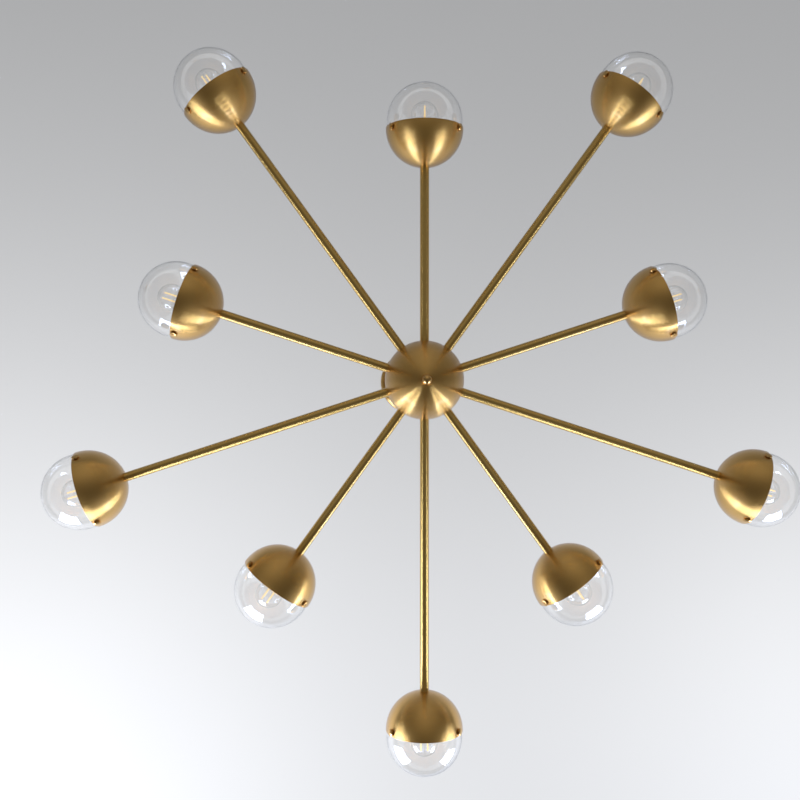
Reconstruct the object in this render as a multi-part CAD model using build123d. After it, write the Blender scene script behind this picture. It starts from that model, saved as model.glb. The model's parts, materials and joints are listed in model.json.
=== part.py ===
from build123d import *
from math import cos, radians, sin, sqrt, tan
import os

# Sputnik chandelier, millimetres. The origin is on the ceiling, on the axis of the stem, and +Z is up.
# Ten lamps stand out level from a hub ball, long and short arms in turn. Each lamp is a brass half-ball
# cup that holds a clear glass globe, a screw-in bulb and its holder.

# ---- fits and clearances ----
THREAD_CLEARANCE = 0.05     # on the radius, a thread drawn as a plain bore round a plain pin
RUNNING_CLEARANCE = 0.1     # on the radius, a cover that slides along the stem
SCREW_CLEARANCE = 0.2       # on the radius, a screw or nipple that passes through sheet
SEAT_CLEARANCE = 0.15       # on the radius, the swivel ball in its seat
COVER_CLEARANCE = 0.3       # between covers and what passes through them
TIP_CLEARANCE = 0.2         # from the tips of the shade screws to the globe's neck
BULB_CLEARANCE = 0.6        # on the radius, the bulb's cap in the holder
CONTACT_CLEARANCE = 0.3     # along the axis, from the bulb's centre contact to the holder's floor

# ---- ceiling fitting ----
HANG_DROP = 530.0           # ceiling to the middle of the hub ball
CANOPY_OD = 133.0
CANOPY_DEPTH = 26.0
CANOPY_WALL = 1.2
CANOPY_CORNER = 9.0         # outside radius between side and face
PLATE_OD = 110.0
PLATE_THICKNESS = 2.0
PLATE_OPENING_OD = 37.0
BOX_SCREW_SPACING = 88.9    # outlet box standard, 3 1/2 in
BOX_SCREW_HOLE_OD = 4.8
STUD_SPACING = 80.0
STUD_OD = 4.0
CAP_NUT_OD = 12.0
CAP_NUT_SKIRT = 3.0         # straight part under the dome
CAP_NUT_GRIP = 5.0          # length of stud inside the nut
GROUND_SCREW_RADIUS = 36.0  # from the axis
GROUND_SCREW_OD = 4.0
GROUND_HEAD_OD = 8.0
GROUND_HEAD_HEIGHT = 3.0

# ---- swivel and stem ----
BALL_OD = 32.0
BALL_PROUD = 7.0            # how far the ball stands out below the canopy
BALL_TOP_CUT = 3.0
BALL_BOTTOM_CUT = 2.0
SEAT_OD = 48.0
SEAT_HEIGHT = 5.0
TUBE_OD = 15.0              # stem and arms
TUBE_WALL = 1.2
PLUG_LENGTH = 12.0          # solid part in each end of a tube, round the nipple's bore
NIPPLE_OD = 10.0            # threaded ends of stem and arms
NIPPLE_BORE = 7.8           # through the nipple and the plug
LEAD_OD = 4.8               # twin lead in the tubes
BALL_NIPPLE_LENGTH = 14.0

# ---- hub ----
HUB_OD = 130.0
HUB_WALL = 1.2
ARM_COUNT = 10
FIRST_ARM_ANGLE = 18.0
CORE_ACROSS_FLATS = 68.0
CORE_HEIGHT = 26.0
CORE_FLOOR = 5.0
CORE_CAVITY_OD = 44.0
TOP_PLATE_OD = 64.0
TOP_PLATE_THICKNESS = 4.0
TOP_SCREW_CIRCLE = 56.0
TOP_SCREW_OD = 3.0
TOP_SCREW_DEPTH = 6.0
TOP_SCREW_HEAD_OD = 5.5
TOP_SCREW_HEAD_HEIGHT = 2.0
LOCK_NUT_FLATS = 14.0
LOCK_NUT_HEIGHT = 4.0
STEM_NIPPLE_LENGTH = 12.0
SPLICE_ACROSS_FLATS = 18.0
SPLICE_HEIGHT = 8.0
COLLAR_OD = 22.0
COLLAR_HEIGHT = 8.0
COLLAR_CHAMFER = 1.0
COLLAR_SCREW_OD = 3.0
COLLAR_SCREW_SUNK = 0.5     # end of the set screw inside the collar's side
FINIAL_OD = 16.0
FINIAL_NECK_OD = 10.0
FINIAL_NECK_HEIGHT = 1.5
FINIAL_STUD_OD = 6.0

# ---- lamps, along the arm from the middle of the cup's sphere ----
LONG_REACH = 576.0          # hub axis to the middle of a cup
SHORT_REACH = 412.0
CUP_OD = 127.0
CUP_WALL = 1.2
CUP_BACK_FLAT_OD = 16.0
CUP_BACK_THICKNESS = 2.5
HOLDER_LENGTH = 57.0
HOLDER_CAP_OD = 28.0
HOLDER_CAP_LENGTH = 13.0
HOLDER_SKIRT_OD = 39.0
HOLDER_SHOULDER = 3.0
HOLDER_CAVITY_DEPTH = 30.5
HOLDER_NIPPLE_GRIP = 10.0
GLOBE_WALL = 1.8
GLOBE_SET_OUT = 12.0        # middle of the globe beyond the middle of the cup
GLOBE_RIM_GAP = 1.3         # glass to cup at the rim
GLOBE_SHOULDER_INSET = 1.0  # the shoulder of the neck behind the rim
NECK_LENGTH = 15.0
NECK_GAP = 5.3              # neck to the inside of the cup's sphere
SHADE_SCREW_COUNT = 3
SHADE_SCREW_FIRST_ANGLE = 60.0  # round the arm, from straight down
SHADE_SCREW_INSET = 6.4     # screw axis behind the rim
SHADE_SCREW_OD = 4.0
SHADE_HEAD_OD = 12.0
SHADE_HEAD_SIDE = 2.4
SHADE_HEAD_DOME = 1.0
BOSS_OD = 9.0
BOSS_DEPTH = 2.8            # screw boss inside the cup's wall

# ---- bulb, a 45 mm round lamp on a 26 mm screw cap ----
BULB_OD = 45.0
BULB_LENGTH = 77.8
BULB_NECK_OD = 25.0
BULB_NECK_LENGTH = 4.0
BULB_GLASS = 0.8
CAP_OD = 26.0
CAP_LENGTH = 20.5
CAP_THREAD_PITCH = 3.6
CAP_THREAD_DEPTH = 0.9
CAP_THREADS = 5
CAP_TAPER_LENGTH = 5.0
CAP_TAPER_OD = 17.0
CONTACT_OD = 9.0
CONTACT_HEIGHT = 1.2
MOUNT_FLARE_OD = 9.0
MOUNT_FLARE_LENGTH = 12.0
MOUNT_ROD_OD = 2.4
FILAMENT_OD = 2.2
FILAMENT_SPACING = 11.0
FILAMENT_LENGTH = 28.0
FILAMENT_TIP_GAP = 7.0      # filament end to the bulb's tip
WIRE_OD = 0.9
BULB_TURNS = (30.0, 85.0, 0.0, 20.0, 35.0, 30.0, 48.0, 90.0, 80.0, 35.0)

# ---- derived sizes ----
CANOPY_R = CANOPY_OD / 2
BALL_R = BALL_OD / 2
SEAT_R = BALL_R + SEAT_CLEARANCE
TUBE_R = TUBE_OD / 2
NIPPLE_R = NIPPLE_OD / 2
NIPPLE_BORE_R = NIPPLE_R + THREAD_CLEARANCE
LEAD_R = LEAD_OD / 2
HUB_R = HUB_OD / 2
CORE_R = CORE_ACROSS_FLATS / 2
CUP_R = CUP_OD / 2
CUP_INNER_R = CUP_R - CUP_WALL
BULB_R = BULB_OD / 2
STUD_R = STUD_OD / 2
FINIAL_STUD_R = FINIAL_STUD_OD / 2
SHADE_SCREW_R = SHADE_SCREW_OD / 2
HUB_Z = -HANG_DROP
CANOPY_FLOOR_Z = CANOPY_WALL - CANOPY_DEPTH
BALL_Z = BALL_R - BALL_PROUD - CANOPY_DEPTH
BALL_BOTTOM_Z = BALL_Z - BALL_R + BALL_BOTTOM_CUT
CORE_TOP_Z = HUB_Z + CORE_HEIGHT / 2
TOP_PLATE_Z = CORE_TOP_Z + TOP_PLATE_THICKNESS


def chord(radius, offset):
    """Half the chord of a circle at a distance from its middle, nothing at the pole itself."""
    return sqrt(max(radius**2 - offset**2, 0))


CUP_BACK_X = -chord(CUP_R, CUP_BACK_FLAT_OD / 2)
CUP_FLOOR_X = CUP_BACK_X + CUP_BACK_THICKNESS
HOLDER_MOUTH_X = CUP_FLOOR_X + HOLDER_LENGTH
HOLDER_FLOOR_X = HOLDER_MOUTH_X - HOLDER_CAVITY_DEPTH
NECK_R = CUP_INNER_R - NECK_GAP
GLOBE_R = sqrt((CUP_INNER_R - GLOBE_RIM_GAP) ** 2 + GLOBE_SET_OUT**2)
SHADE_TIP_R = NECK_R + TIP_CLEARANCE
BULB_BASE_X = HOLDER_FLOOR_X + CONTACT_CLEARANCE
BULB_TIP_X = BULB_BASE_X + BULB_LENGTH
BULB_X = BULB_TIP_X - BULB_R
CAP_TOP_X = BULB_BASE_X + CONTACT_HEIGHT + CAP_TAPER_LENGTH + CAP_LENGTH


def arm_angle(index):
    return FIRST_ARM_ANGLE + index * 360 / ARM_COUNT


def reach(index):
    """Long arms have even numbers, short arms odd ones."""
    return SHORT_REACH if index % 2 else LONG_REACH


def at_arm(index, along=0.0):
    """Place of a piece made along +X, turned to its arm at the hub's height."""
    return Pos(0, 0, HUB_Z) * Rot(0, 0, arm_angle(index)) * Pos(along, 0, 0)


def at_lamp(index):
    return at_arm(index, reach(index))


def turned(*edges):
    """Solid of revolution about X from an outline in the XY plane with Y as its radius."""
    return revolve(make_face(Curve() + list(edges)), Axis.X)


def corners(*points):
    return [Line(a, b) for a, b in zip(points, points[1:])]


def arc(centre_x, radius, start_x, end_x):
    """Arc of a circle about a point on the X axis, between two places along X."""
    middle_x = (start_x + end_x) / 2
    points = [(x, chord(radius, x - centre_x)) for x in (start_x, middle_x, end_x)]
    return ThreePointArc(*points)


def rod(radius, start_x, end_x):
    """Round bar along X."""
    return Pos((start_x + end_x) / 2, 0, 0) * Rot(0, 90, 0) * Cylinder(radius, end_x - start_x)


def post(radius, low_z, high_z):
    """Round bar along Z."""
    return Pos(0, 0, (low_z + high_z) / 2) * Cylinder(radius, high_z - low_z)


def prism(across_flats, sides, low_z, high_z):
    """Upright prism with the first flat turned half a side from +X."""
    outline = RegularPolygon(across_flats / 2, sides, major_radius=False)
    return extrude(Pos(0, 0, low_z) * outline, high_z - low_z)


def around(shape, radius, count, first_angle=0.0):
    """Copies of a shape on a circle about Z."""
    turns = [first_angle + k * 360 / count for k in range(count)]
    return [Rot(0, 0, turn) * Pos(radius, 0, 0) * shape for turn in turns]


def cut_each(body, tools):
    for tool in tools:
        body = body - tool
    return body


# ---- ceiling fitting ----
def mounting_plate():
    plate = post(PLATE_OD / 2, -PLATE_THICKNESS, 0)
    plate -= post(PLATE_OPENING_OD / 2, -PLATE_THICKNESS, 0)
    box_hole = post(BOX_SCREW_HOLE_OD / 2, -PLATE_THICKNESS, 0)
    stud_hole = post(STUD_R + THREAD_CLEARANCE, -PLATE_THICKNESS, 0)
    ground_hole = post(GROUND_SCREW_OD / 2 + THREAD_CLEARANCE, -PLATE_THICKNESS, 0)
    plate = cut_each(plate, around(box_hole, BOX_SCREW_SPACING / 2, 2))
    plate = cut_each(plate, around(stud_hole, STUD_SPACING / 2, 2, 90))
    return cut_each(plate, around(ground_hole, GROUND_SCREW_RADIUS, 1, 45))


def canopy_cover():
    """Spun pan, rim up against the ceiling, with the swivel's hole in its face."""
    outer = post(CANOPY_R, -CANOPY_DEPTH, 0)
    outer = fillet(outer.edges().group_by(Axis.Z)[0], CANOPY_CORNER)
    inner = post(CANOPY_R - CANOPY_WALL, CANOPY_FLOOR_Z, 0)
    inner = fillet(inner.edges().group_by(Axis.Z)[0], CANOPY_CORNER - CANOPY_WALL)
    ball_hole_r = chord(BALL_R, BALL_Z - CANOPY_FLOOR_Z) + COVER_CLEARANCE
    stud_hole = post(STUD_R + SCREW_CLEARANCE, -CANOPY_DEPTH, CANOPY_FLOOR_Z)
    cover = outer - inner - post(ball_hole_r, -CANOPY_DEPTH, CANOPY_FLOOR_Z)
    return cut_each(cover, around(stud_hole, STUD_SPACING / 2, 2, 90))


def canopy_studs():
    """Two threaded studs that hang the canopy from the plate."""
    stud = post(STUD_R, -CANOPY_DEPTH - CAP_NUT_GRIP, 0)
    return around(stud, STUD_SPACING / 2, 2, 90)


def canopy_cap_nuts():
    """Domed nuts under the canopy, one on each stud."""
    top_z = -CANOPY_DEPTH
    nut = post(CAP_NUT_OD / 2, top_z - CAP_NUT_SKIRT, top_z)
    dome = Pos(0, 0, top_z - CAP_NUT_SKIRT) * Sphere(CAP_NUT_OD / 2)
    nut += dome - post(CAP_NUT_OD, top_z - CAP_NUT_SKIRT, top_z + CAP_NUT_OD)
    nut -= post(STUD_R + THREAD_CLEARANCE, top_z - CAP_NUT_GRIP, top_z)
    return around(nut, STUD_SPACING / 2, 2, 90)


def ground_screw():
    screw = post(GROUND_SCREW_OD / 2, -PLATE_THICKNESS, 0)
    screw += post(GROUND_HEAD_OD / 2, -PLATE_THICKNESS - GROUND_HEAD_HEIGHT, -PLATE_THICKNESS)
    return around(screw, GROUND_SCREW_RADIUS, 1, 45)


def swivel_seat():
    """Ring on the canopy's floor with a hollow round the lower half of the ball."""
    ring = post(SEAT_OD / 2, CANOPY_FLOOR_Z, CANOPY_FLOOR_Z + SEAT_HEIGHT)
    return ring - Pos(0, 0, BALL_Z) * Sphere(SEAT_R)


# ---- swivel and stem ----
def swivel_ball():
    ball = Pos(0, 0, BALL_Z) * Sphere(BALL_R)
    ball &= post(BALL_R, BALL_BOTTOM_Z, BALL_Z + BALL_R - BALL_TOP_CUT)
    return ball - post(NIPPLE_BORE_R, BALL_Z - BALL_R, BALL_Z + BALL_R)


def stem():
    """Tube from the swivel ball to the hub's top plate, plugged and with a threaded nipple at each end."""
    top_z = BALL_BOTTOM_Z + BALL_NIPPLE_LENGTH
    low_z = TOP_PLATE_Z - STEM_NIPPLE_LENGTH
    tube = post(TUBE_R, TOP_PLATE_Z, BALL_BOTTOM_Z)
    tube -= post(TUBE_R - TUBE_WALL, TOP_PLATE_Z + PLUG_LENGTH, BALL_BOTTOM_Z - PLUG_LENGTH)
    tube += post(NIPPLE_R, BALL_BOTTOM_Z, top_z)
    tube += post(NIPPLE_R, low_z, TOP_PLATE_Z)
    return tube - post(NIPPLE_BORE / 2, low_z, top_z)


def supply_lead():
    """Lead down the stem to a ten-way splice block in the hub."""
    splice_top_z = HUB_Z + SPLICE_HEIGHT / 2
    block = prism(SPLICE_ACROSS_FLATS, ARM_COUNT, HUB_Z - SPLICE_HEIGHT / 2, splice_top_z)
    return block + post(LEAD_R, splice_top_z, BALL_BOTTOM_Z + BALL_NIPPLE_LENGTH)


def stem_lock_nut():
    nut = prism(LOCK_NUT_FLATS, 6, CORE_TOP_Z - LOCK_NUT_HEIGHT, CORE_TOP_Z)
    return nut - post(NIPPLE_BORE_R, CORE_TOP_Z - LOCK_NUT_HEIGHT, CORE_TOP_Z)


# ---- hub ----
def hub_core():
    """Ten-sided block: each flat takes one arm, the floor takes the finial's stud."""
    low_z = HUB_Z - CORE_HEIGHT / 2
    floor_z = low_z + CORE_FLOOR
    core = prism(CORE_ACROSS_FLATS, ARM_COUNT, low_z, CORE_TOP_Z)
    core -= post(CORE_CAVITY_OD / 2, floor_z, CORE_TOP_Z)
    core -= post(FINIAL_STUD_R + THREAD_CLEARANCE, low_z, floor_z)
    arm_bore = rod(NIPPLE_BORE_R, SPLICE_ACROSS_FLATS / 2, CORE_R)
    core = cut_each(core, [at_arm(k) * arm_bore for k in range(ARM_COUNT)])
    screw_hole = post(TOP_SCREW_OD / 2 + THREAD_CLEARANCE, CORE_TOP_Z - TOP_SCREW_DEPTH, CORE_TOP_Z)
    return cut_each(core, around(screw_hole, TOP_SCREW_CIRCLE / 2, ARM_COUNT // 2))


def hub_top_plate():
    plate = post(TOP_PLATE_OD / 2, CORE_TOP_Z, TOP_PLATE_Z)
    plate -= post(NIPPLE_R + SCREW_CLEARANCE, CORE_TOP_Z, TOP_PLATE_Z)
    screw_hole = post(TOP_SCREW_OD / 2 + SCREW_CLEARANCE, CORE_TOP_Z, TOP_PLATE_Z)
    return cut_each(plate, around(screw_hole, TOP_SCREW_CIRCLE / 2, ARM_COUNT // 2))


def hub_plate_screws():
    screw = post(TOP_SCREW_OD / 2, CORE_TOP_Z - TOP_SCREW_DEPTH, TOP_PLATE_Z)
    screw += post(TOP_SCREW_HEAD_OD / 2, TOP_PLATE_Z, TOP_PLATE_Z + TOP_SCREW_HEAD_HEIGHT)
    return around(screw, TOP_SCREW_CIRCLE / 2, ARM_COUNT // 2)


def hub_shell(side, pole_hole_r):
    """Half of the hub ball, above (side 1) or below (side -1), cut away round the arms."""
    shell = Pos(0, 0, HUB_Z) * (Sphere(HUB_R) - Sphere(HUB_R - HUB_WALL))
    shell -= Pos(0, 0, HUB_Z - side * HUB_OD) * Box(2 * HUB_OD, 2 * HUB_OD, 2 * HUB_OD)
    shell -= Pos(0, 0, HUB_Z + side * HUB_R) * Cylinder(pole_hole_r, HUB_R)
    arm_hole = rod(TUBE_R + COVER_CLEARANCE, CORE_R, HUB_OD)
    return cut_each(shell, [at_arm(k) * arm_hole for k in range(ARM_COUNT)])


def hub_upper_shell():
    return hub_shell(1, TUBE_R + RUNNING_CLEARANCE)


def hub_lower_shell():
    return hub_shell(-1, FINIAL_STUD_R + COVER_CLEARANCE)


def hub_collar():
    """Ring on the stem that keeps the upper shell down, with its set screw as a second solid."""
    low_z = HUB_Z + HUB_R
    bore_r = TUBE_R + RUNNING_CLEARANCE
    collar = post(COLLAR_OD / 2, low_z, low_z + COLLAR_HEIGHT)
    collar = chamfer(collar.edges().group_by(Axis.Z)[-1], COLLAR_CHAMFER)
    collar -= post(bore_r, low_z, low_z + COLLAR_HEIGHT)
    middle = Pos(0, 0, low_z + COLLAR_HEIGHT / 2)
    collar -= middle * rod(COLLAR_SCREW_OD / 2 + THREAD_CLEARANCE, 0, COLLAR_OD)
    return [collar, middle * rod(COLLAR_SCREW_OD / 2, bore_r, COLLAR_OD / 2 - COLLAR_SCREW_SUNK)]


def finial():
    """Ball nut under the hub, on a long stud that reaches up into the core."""
    neck_z = HUB_Z - HUB_R
    ball_top_z = neck_z - FINIAL_NECK_HEIGHT
    ball_z = ball_top_z - chord(FINIAL_OD / 2, FINIAL_NECK_OD / 2)
    ball = Pos(0, 0, ball_z) * Sphere(FINIAL_OD / 2)
    ball -= post(FINIAL_OD, ball_top_z, neck_z + FINIAL_OD)
    stud_top_z = HUB_Z - CORE_HEIGHT / 2 + CORE_FLOOR
    return ball + post(FINIAL_NECK_OD / 2, ball_top_z, neck_z) + post(FINIAL_STUD_R, neck_z, stud_top_z)


# ---- arms and lamps ----
def arm(index):
    """Tube from the core to the back of the cup, plugged and with a threaded nipple at each end."""
    cup_x = reach(index) + CUP_BACK_X
    inner_x = CORE_CAVITY_OD / 2
    outer_x = reach(index) + CUP_FLOOR_X + HOLDER_NIPPLE_GRIP
    tube = rod(TUBE_R, CORE_R, cup_x) - rod(TUBE_R - TUBE_WALL, CORE_R + PLUG_LENGTH, cup_x - PLUG_LENGTH)
    tube += rod(NIPPLE_R, inner_x, CORE_R) + rod(NIPPLE_R, cup_x, outer_x)
    return at_arm(index) * (tube - rod(NIPPLE_BORE / 2, inner_x, outer_x))


def arm_leads():
    """Twin lead in each arm, from the splice block to the holder."""
    start_x = SPLICE_ACROSS_FLATS / 2
    ends = [reach(k) + CUP_FLOOR_X + HOLDER_NIPPLE_GRIP for k in range(ARM_COUNT)]
    return [at_arm(k) * rod(LEAD_R, start_x, end) for k, end in enumerate(ends)]


def shade_screw_places():
    """Frames on the cup's surface, with Z outwards, where the shade screws go."""
    turns = [SHADE_SCREW_FIRST_ANGLE + k * 360 / SHADE_SCREW_COUNT for k in range(SHADE_SCREW_COUNT)]
    return [Pos(-SHADE_SCREW_INSET, 0, 0) * Rot(180 + turn, 0, 0) for turn in turns]


def cup_shape():
    """Spun half ball, thick at the back where the tube meets it, with three screw bosses."""
    bore_r = NIPPLE_R + SCREW_CLEARANCE
    floor_r = chord(CUP_INNER_R, CUP_FLOOR_X)
    bowl = turned(
        arc(0, CUP_R, CUP_BACK_X, 0),
        *corners((0, CUP_R), (0, CUP_INNER_R)),
        arc(0, CUP_INNER_R, 0, CUP_FLOOR_X),
        *corners((CUP_FLOOR_X, floor_r), (CUP_FLOOR_X, bore_r), (CUP_BACK_X, bore_r)),
        *corners((CUP_BACK_X, bore_r), (CUP_BACK_X, CUP_BACK_FLAT_OD / 2)),
    )
    boss = post(BOSS_OD / 2, CUP_INNER_R - BOSS_DEPTH, CUP_INNER_R)
    hole = post(SHADE_SCREW_R + THREAD_CLEARANCE, NECK_R, CUP_R)
    for place in shade_screw_places():
        bowl += place * boss
    return cut_each(bowl, [place * hole for place in shade_screw_places()])


def shade_screw_shape():
    """Thumb screw with a low domed head, its tip against the globe's neck."""
    seat_r = CUP_R
    side_top = seat_r + SHADE_HEAD_SIDE
    head_r = SHADE_HEAD_OD / 2
    dome_r = (head_r**2 + SHADE_HEAD_DOME**2) / (2 * SHADE_HEAD_DOME)
    dome = Pos(0, 0, side_top + SHADE_HEAD_DOME - dome_r) * Sphere(dome_r)
    dome &= post(head_r, side_top, side_top + SHADE_HEAD_DOME)
    return post(SHADE_SCREW_R, SHADE_TIP_R, seat_r) + post(head_r, seat_r, side_top) + dome


def shade_screws():
    shape = shade_screw_shape()
    return [at_lamp(k) * place * shape for k in range(ARM_COUNT) for place in shade_screw_places()]


def holder_shape():
    """Lamp holder: a cap threaded on the arm's nipple and a skirt round the bulb's cap."""
    cap_r = HOLDER_CAP_OD / 2
    skirt_r = HOLDER_SKIRT_OD / 2
    cavity_r = CAP_OD / 2 + BULB_CLEARANCE
    cap_x = CUP_FLOOR_X + HOLDER_CAP_LENGTH
    grip_x = CUP_FLOOR_X + HOLDER_NIPPLE_GRIP
    return turned(
        *corners(
            (CUP_FLOOR_X, NIPPLE_BORE_R),
            (CUP_FLOOR_X, cap_r),
            (cap_x, cap_r),
            (cap_x + HOLDER_SHOULDER, skirt_r),
            (HOLDER_MOUTH_X, skirt_r),
            (HOLDER_MOUTH_X, cavity_r),
            (HOLDER_FLOOR_X, cavity_r),
            (HOLDER_FLOOR_X, 0),
            (grip_x, 0),
            (grip_x, NIPPLE_BORE_R),
            (CUP_FLOOR_X, NIPPLE_BORE_R),
        )
    )


def lamp_holders():
    shape = holder_shape()
    return [at_lamp(k) * shape for k in range(ARM_COUNT)]


def globe_shape():
    """Clear glass ball, open at a straight neck that sits inside the cup."""
    shoulder_x = -GLOBE_SHOULDER_INSET
    neck_end_x = shoulder_x - NECK_LENGTH
    inner_r = GLOBE_R - GLOBE_WALL
    neck_inner_r = NECK_R - GLOBE_WALL
    inner_shoulder_x = shoulder_x + GLOBE_WALL
    shoulder_r = chord(GLOBE_R, shoulder_x - GLOBE_SET_OUT)
    inner_shoulder_r = chord(inner_r, inner_shoulder_x - GLOBE_SET_OUT)
    return turned(
        arc(GLOBE_SET_OUT, GLOBE_R, GLOBE_SET_OUT + GLOBE_R, shoulder_x),
        *corners(
            (shoulder_x, shoulder_r),
            (shoulder_x, NECK_R),
            (neck_end_x, NECK_R),
            (neck_end_x, neck_inner_r),
            (inner_shoulder_x, neck_inner_r),
            (inner_shoulder_x, inner_shoulder_r),
        ),
        arc(GLOBE_SET_OUT, inner_r, inner_shoulder_x, GLOBE_SET_OUT + inner_r),
        *corners((GLOBE_SET_OUT + inner_r, 0), (GLOBE_SET_OUT + GLOBE_R, 0)),
    )


def tangent_point(centre_x, radius, point):
    """Where the line from a point outside a circle touches it, on the side away from the axis."""
    dx = point[0] - centre_x
    distance_2 = dx**2 + point[1] ** 2
    along = radius**2 / distance_2
    across = radius * sqrt(distance_2 - radius**2) / distance_2
    return centre_x + along * dx + across * point[1], along * point[1] - across * dx


def bulb_cap():
    """Screw cap: centre contact, insulating taper and a shell with rounded-off thread rings."""
    cap_r = CAP_OD / 2
    taper_x = BULB_BASE_X + CONTACT_HEIGHT
    shell_x = taper_x + CAP_TAPER_LENGTH
    contact_r = CONTACT_OD / 2
    outline = [(BULB_BASE_X, 0), (BULB_BASE_X, contact_r), (taper_x, contact_r)]
    outline += [(taper_x, CAP_TAPER_OD / 2), (shell_x, cap_r - CAP_THREAD_DEPTH)]
    for k in range(CAP_THREADS):
        crest_x = shell_x + (k + 0.5) * CAP_THREAD_PITCH
        outline += [(crest_x, cap_r), (crest_x + CAP_THREAD_PITCH / 2, cap_r - CAP_THREAD_DEPTH)]
    outline += [(CAP_TOP_X, cap_r - CAP_THREAD_DEPTH), (CAP_TOP_X, 0), (BULB_BASE_X, 0)]
    return turned(*corners(*outline))


def bulb_glass():
    """Round envelope with a short neck that stands on the cap."""
    neck_r = BULB_NECK_OD / 2
    neck_x = CAP_TOP_X + BULB_NECK_LENGTH
    inner_r = BULB_R - BULB_GLASS
    inner_neck_r = neck_r - BULB_GLASS
    outer_touch = tangent_point(BULB_X, BULB_R, (neck_x, neck_r))
    inner_touch = tangent_point(BULB_X, inner_r, (neck_x, inner_neck_r))
    return turned(
        *corners((CAP_TOP_X, inner_neck_r), (CAP_TOP_X, neck_r), (neck_x, neck_r), outer_touch),
        arc(BULB_X, BULB_R, outer_touch[0], BULB_TIP_X),
        *corners((BULB_TIP_X, 0), (BULB_TIP_X - BULB_GLASS, 0)),
        arc(BULB_X, inner_r, BULB_TIP_X - BULB_GLASS, inner_touch[0]),
        *corners(inner_touch, (neck_x, inner_neck_r), (CAP_TOP_X, inner_neck_r)),
    )


def bulb_mount():
    """Glass flare and rod with two filament sticks beside it, joined by cross wires."""
    flare_x = CAP_TOP_X + MOUNT_FLARE_LENGTH
    tip_x = BULB_TIP_X - FILAMENT_TIP_GAP
    foot_x = tip_x - FILAMENT_LENGTH
    mount = rod(MOUNT_FLARE_OD / 2, CAP_TOP_X, flare_x) + rod(MOUNT_ROD_OD / 2, flare_x, tip_x)
    for side in (-1, 1):
        mount += Pos(0, side * FILAMENT_SPACING / 2, 0) * rod(FILAMENT_OD / 2, foot_x, tip_x)
    for x in (foot_x + WIRE_OD, tip_x - WIRE_OD):
        mount += Pos(x, 0, 0) * Rot(90, 0, 0) * Cylinder(WIRE_OD / 2, FILAMENT_SPACING)
    return mount


def bulb(index, pieces):
    return [at_lamp(index) * Rot(BULB_TURNS[index % len(BULB_TURNS)], 0, 0) * piece for piece in pieces]


def write(name, shape):
    """One STEP file for a node; a list is a group of separate solids."""
    solids = shape if isinstance(shape, list) else [shape]
    export_step(Compound(children=solids) if len(solids) > 1 else solids[0], f"parts/{name}.step")


def main():
    os.makedirs("parts", exist_ok=True)
    single = (
        mounting_plate, canopy_cover, canopy_studs, canopy_cap_nuts, ground_screw, swivel_seat,
        swivel_ball, stem, supply_lead, stem_lock_nut, hub_core, hub_top_plate, hub_plate_screws,
        hub_upper_shell, hub_collar, hub_lower_shell, finial, arm_leads, shade_screws, lamp_holders,
    )
    for make in single:
        write(make.__name__, make())
    cup = cup_shape()
    globe = globe_shape()
    bulb_pieces = [bulb_cap(), bulb_glass(), bulb_mount()]
    for k in range(ARM_COUNT):
        number = f"{k + 1:02d}"
        write(f"arm_{number}", arm(k))
        write(f"cup_{number}", at_lamp(k) * cup)
        write(f"globe_{number}", at_lamp(k) * globe)
        write(f"bulb_{number}", bulb(k, bulb_pieces))


main()
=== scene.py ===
import json
import math

import bpy
import numpy as np
from bpy.props import FloatProperty, FloatVectorProperty, IntProperty, PointerProperty
from bpy.types import Operator, Panel, PropertyGroup
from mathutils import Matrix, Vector


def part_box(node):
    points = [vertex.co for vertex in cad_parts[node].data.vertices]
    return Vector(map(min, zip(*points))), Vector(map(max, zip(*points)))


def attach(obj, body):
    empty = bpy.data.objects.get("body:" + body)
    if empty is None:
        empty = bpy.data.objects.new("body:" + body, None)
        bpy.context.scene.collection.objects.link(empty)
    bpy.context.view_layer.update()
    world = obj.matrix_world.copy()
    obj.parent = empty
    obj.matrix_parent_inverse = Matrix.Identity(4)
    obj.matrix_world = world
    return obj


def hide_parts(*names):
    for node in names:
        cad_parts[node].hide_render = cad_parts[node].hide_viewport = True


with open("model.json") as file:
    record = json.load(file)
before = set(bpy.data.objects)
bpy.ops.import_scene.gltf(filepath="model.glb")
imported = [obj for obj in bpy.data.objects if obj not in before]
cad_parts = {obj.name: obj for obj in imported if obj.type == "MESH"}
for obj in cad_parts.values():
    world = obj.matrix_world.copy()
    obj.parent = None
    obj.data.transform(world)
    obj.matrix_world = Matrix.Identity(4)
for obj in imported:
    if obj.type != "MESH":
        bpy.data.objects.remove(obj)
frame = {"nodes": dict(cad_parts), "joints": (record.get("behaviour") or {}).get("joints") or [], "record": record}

bl_info = {
    "name": "Sputnik chandelier",
    "version": (1, 0, 0),
    "blender": (4, 5, 0),
    "location": "3D View > Sidebar > Chandelier",
    "description": "Dresses a ten-light sputnik chandelier in satin brass and clear glass",
    "category": "Add Mesh",
}

MM = 0.001
UP = np.array((0.0, 0.0, 1.0))
OUT = np.array((1.0, 0.0, 0.0))
HUB_TURNS, PAN_TURNS, GLOBE_TURNS = 480, 160, 128
CAP_FOOT = 8 * MM
INNER_REACH, INNER_START = 7.2 * MM, 10 * MM
LAMP_NUMBERS = [f"{k:02d}" for k in range(1, 11)]
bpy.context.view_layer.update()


# ---- places and sizes that the frame holds ----
def corners_of(node):
    """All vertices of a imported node, as rows of x, y and z."""
    mesh = frame["nodes"][node].data
    flat = np.zeros(len(mesh.vertices) * 3, np.float32)
    mesh.vertices.foreach_get("co", flat)
    return flat.reshape(-1, 3).astype(float)


def reach_along(node, axis):
    """Least and greatest distance of a node's vertices along an axis through the origin."""
    distance = corners_of(node) @ axis
    return distance.min(), distance.max()


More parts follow.
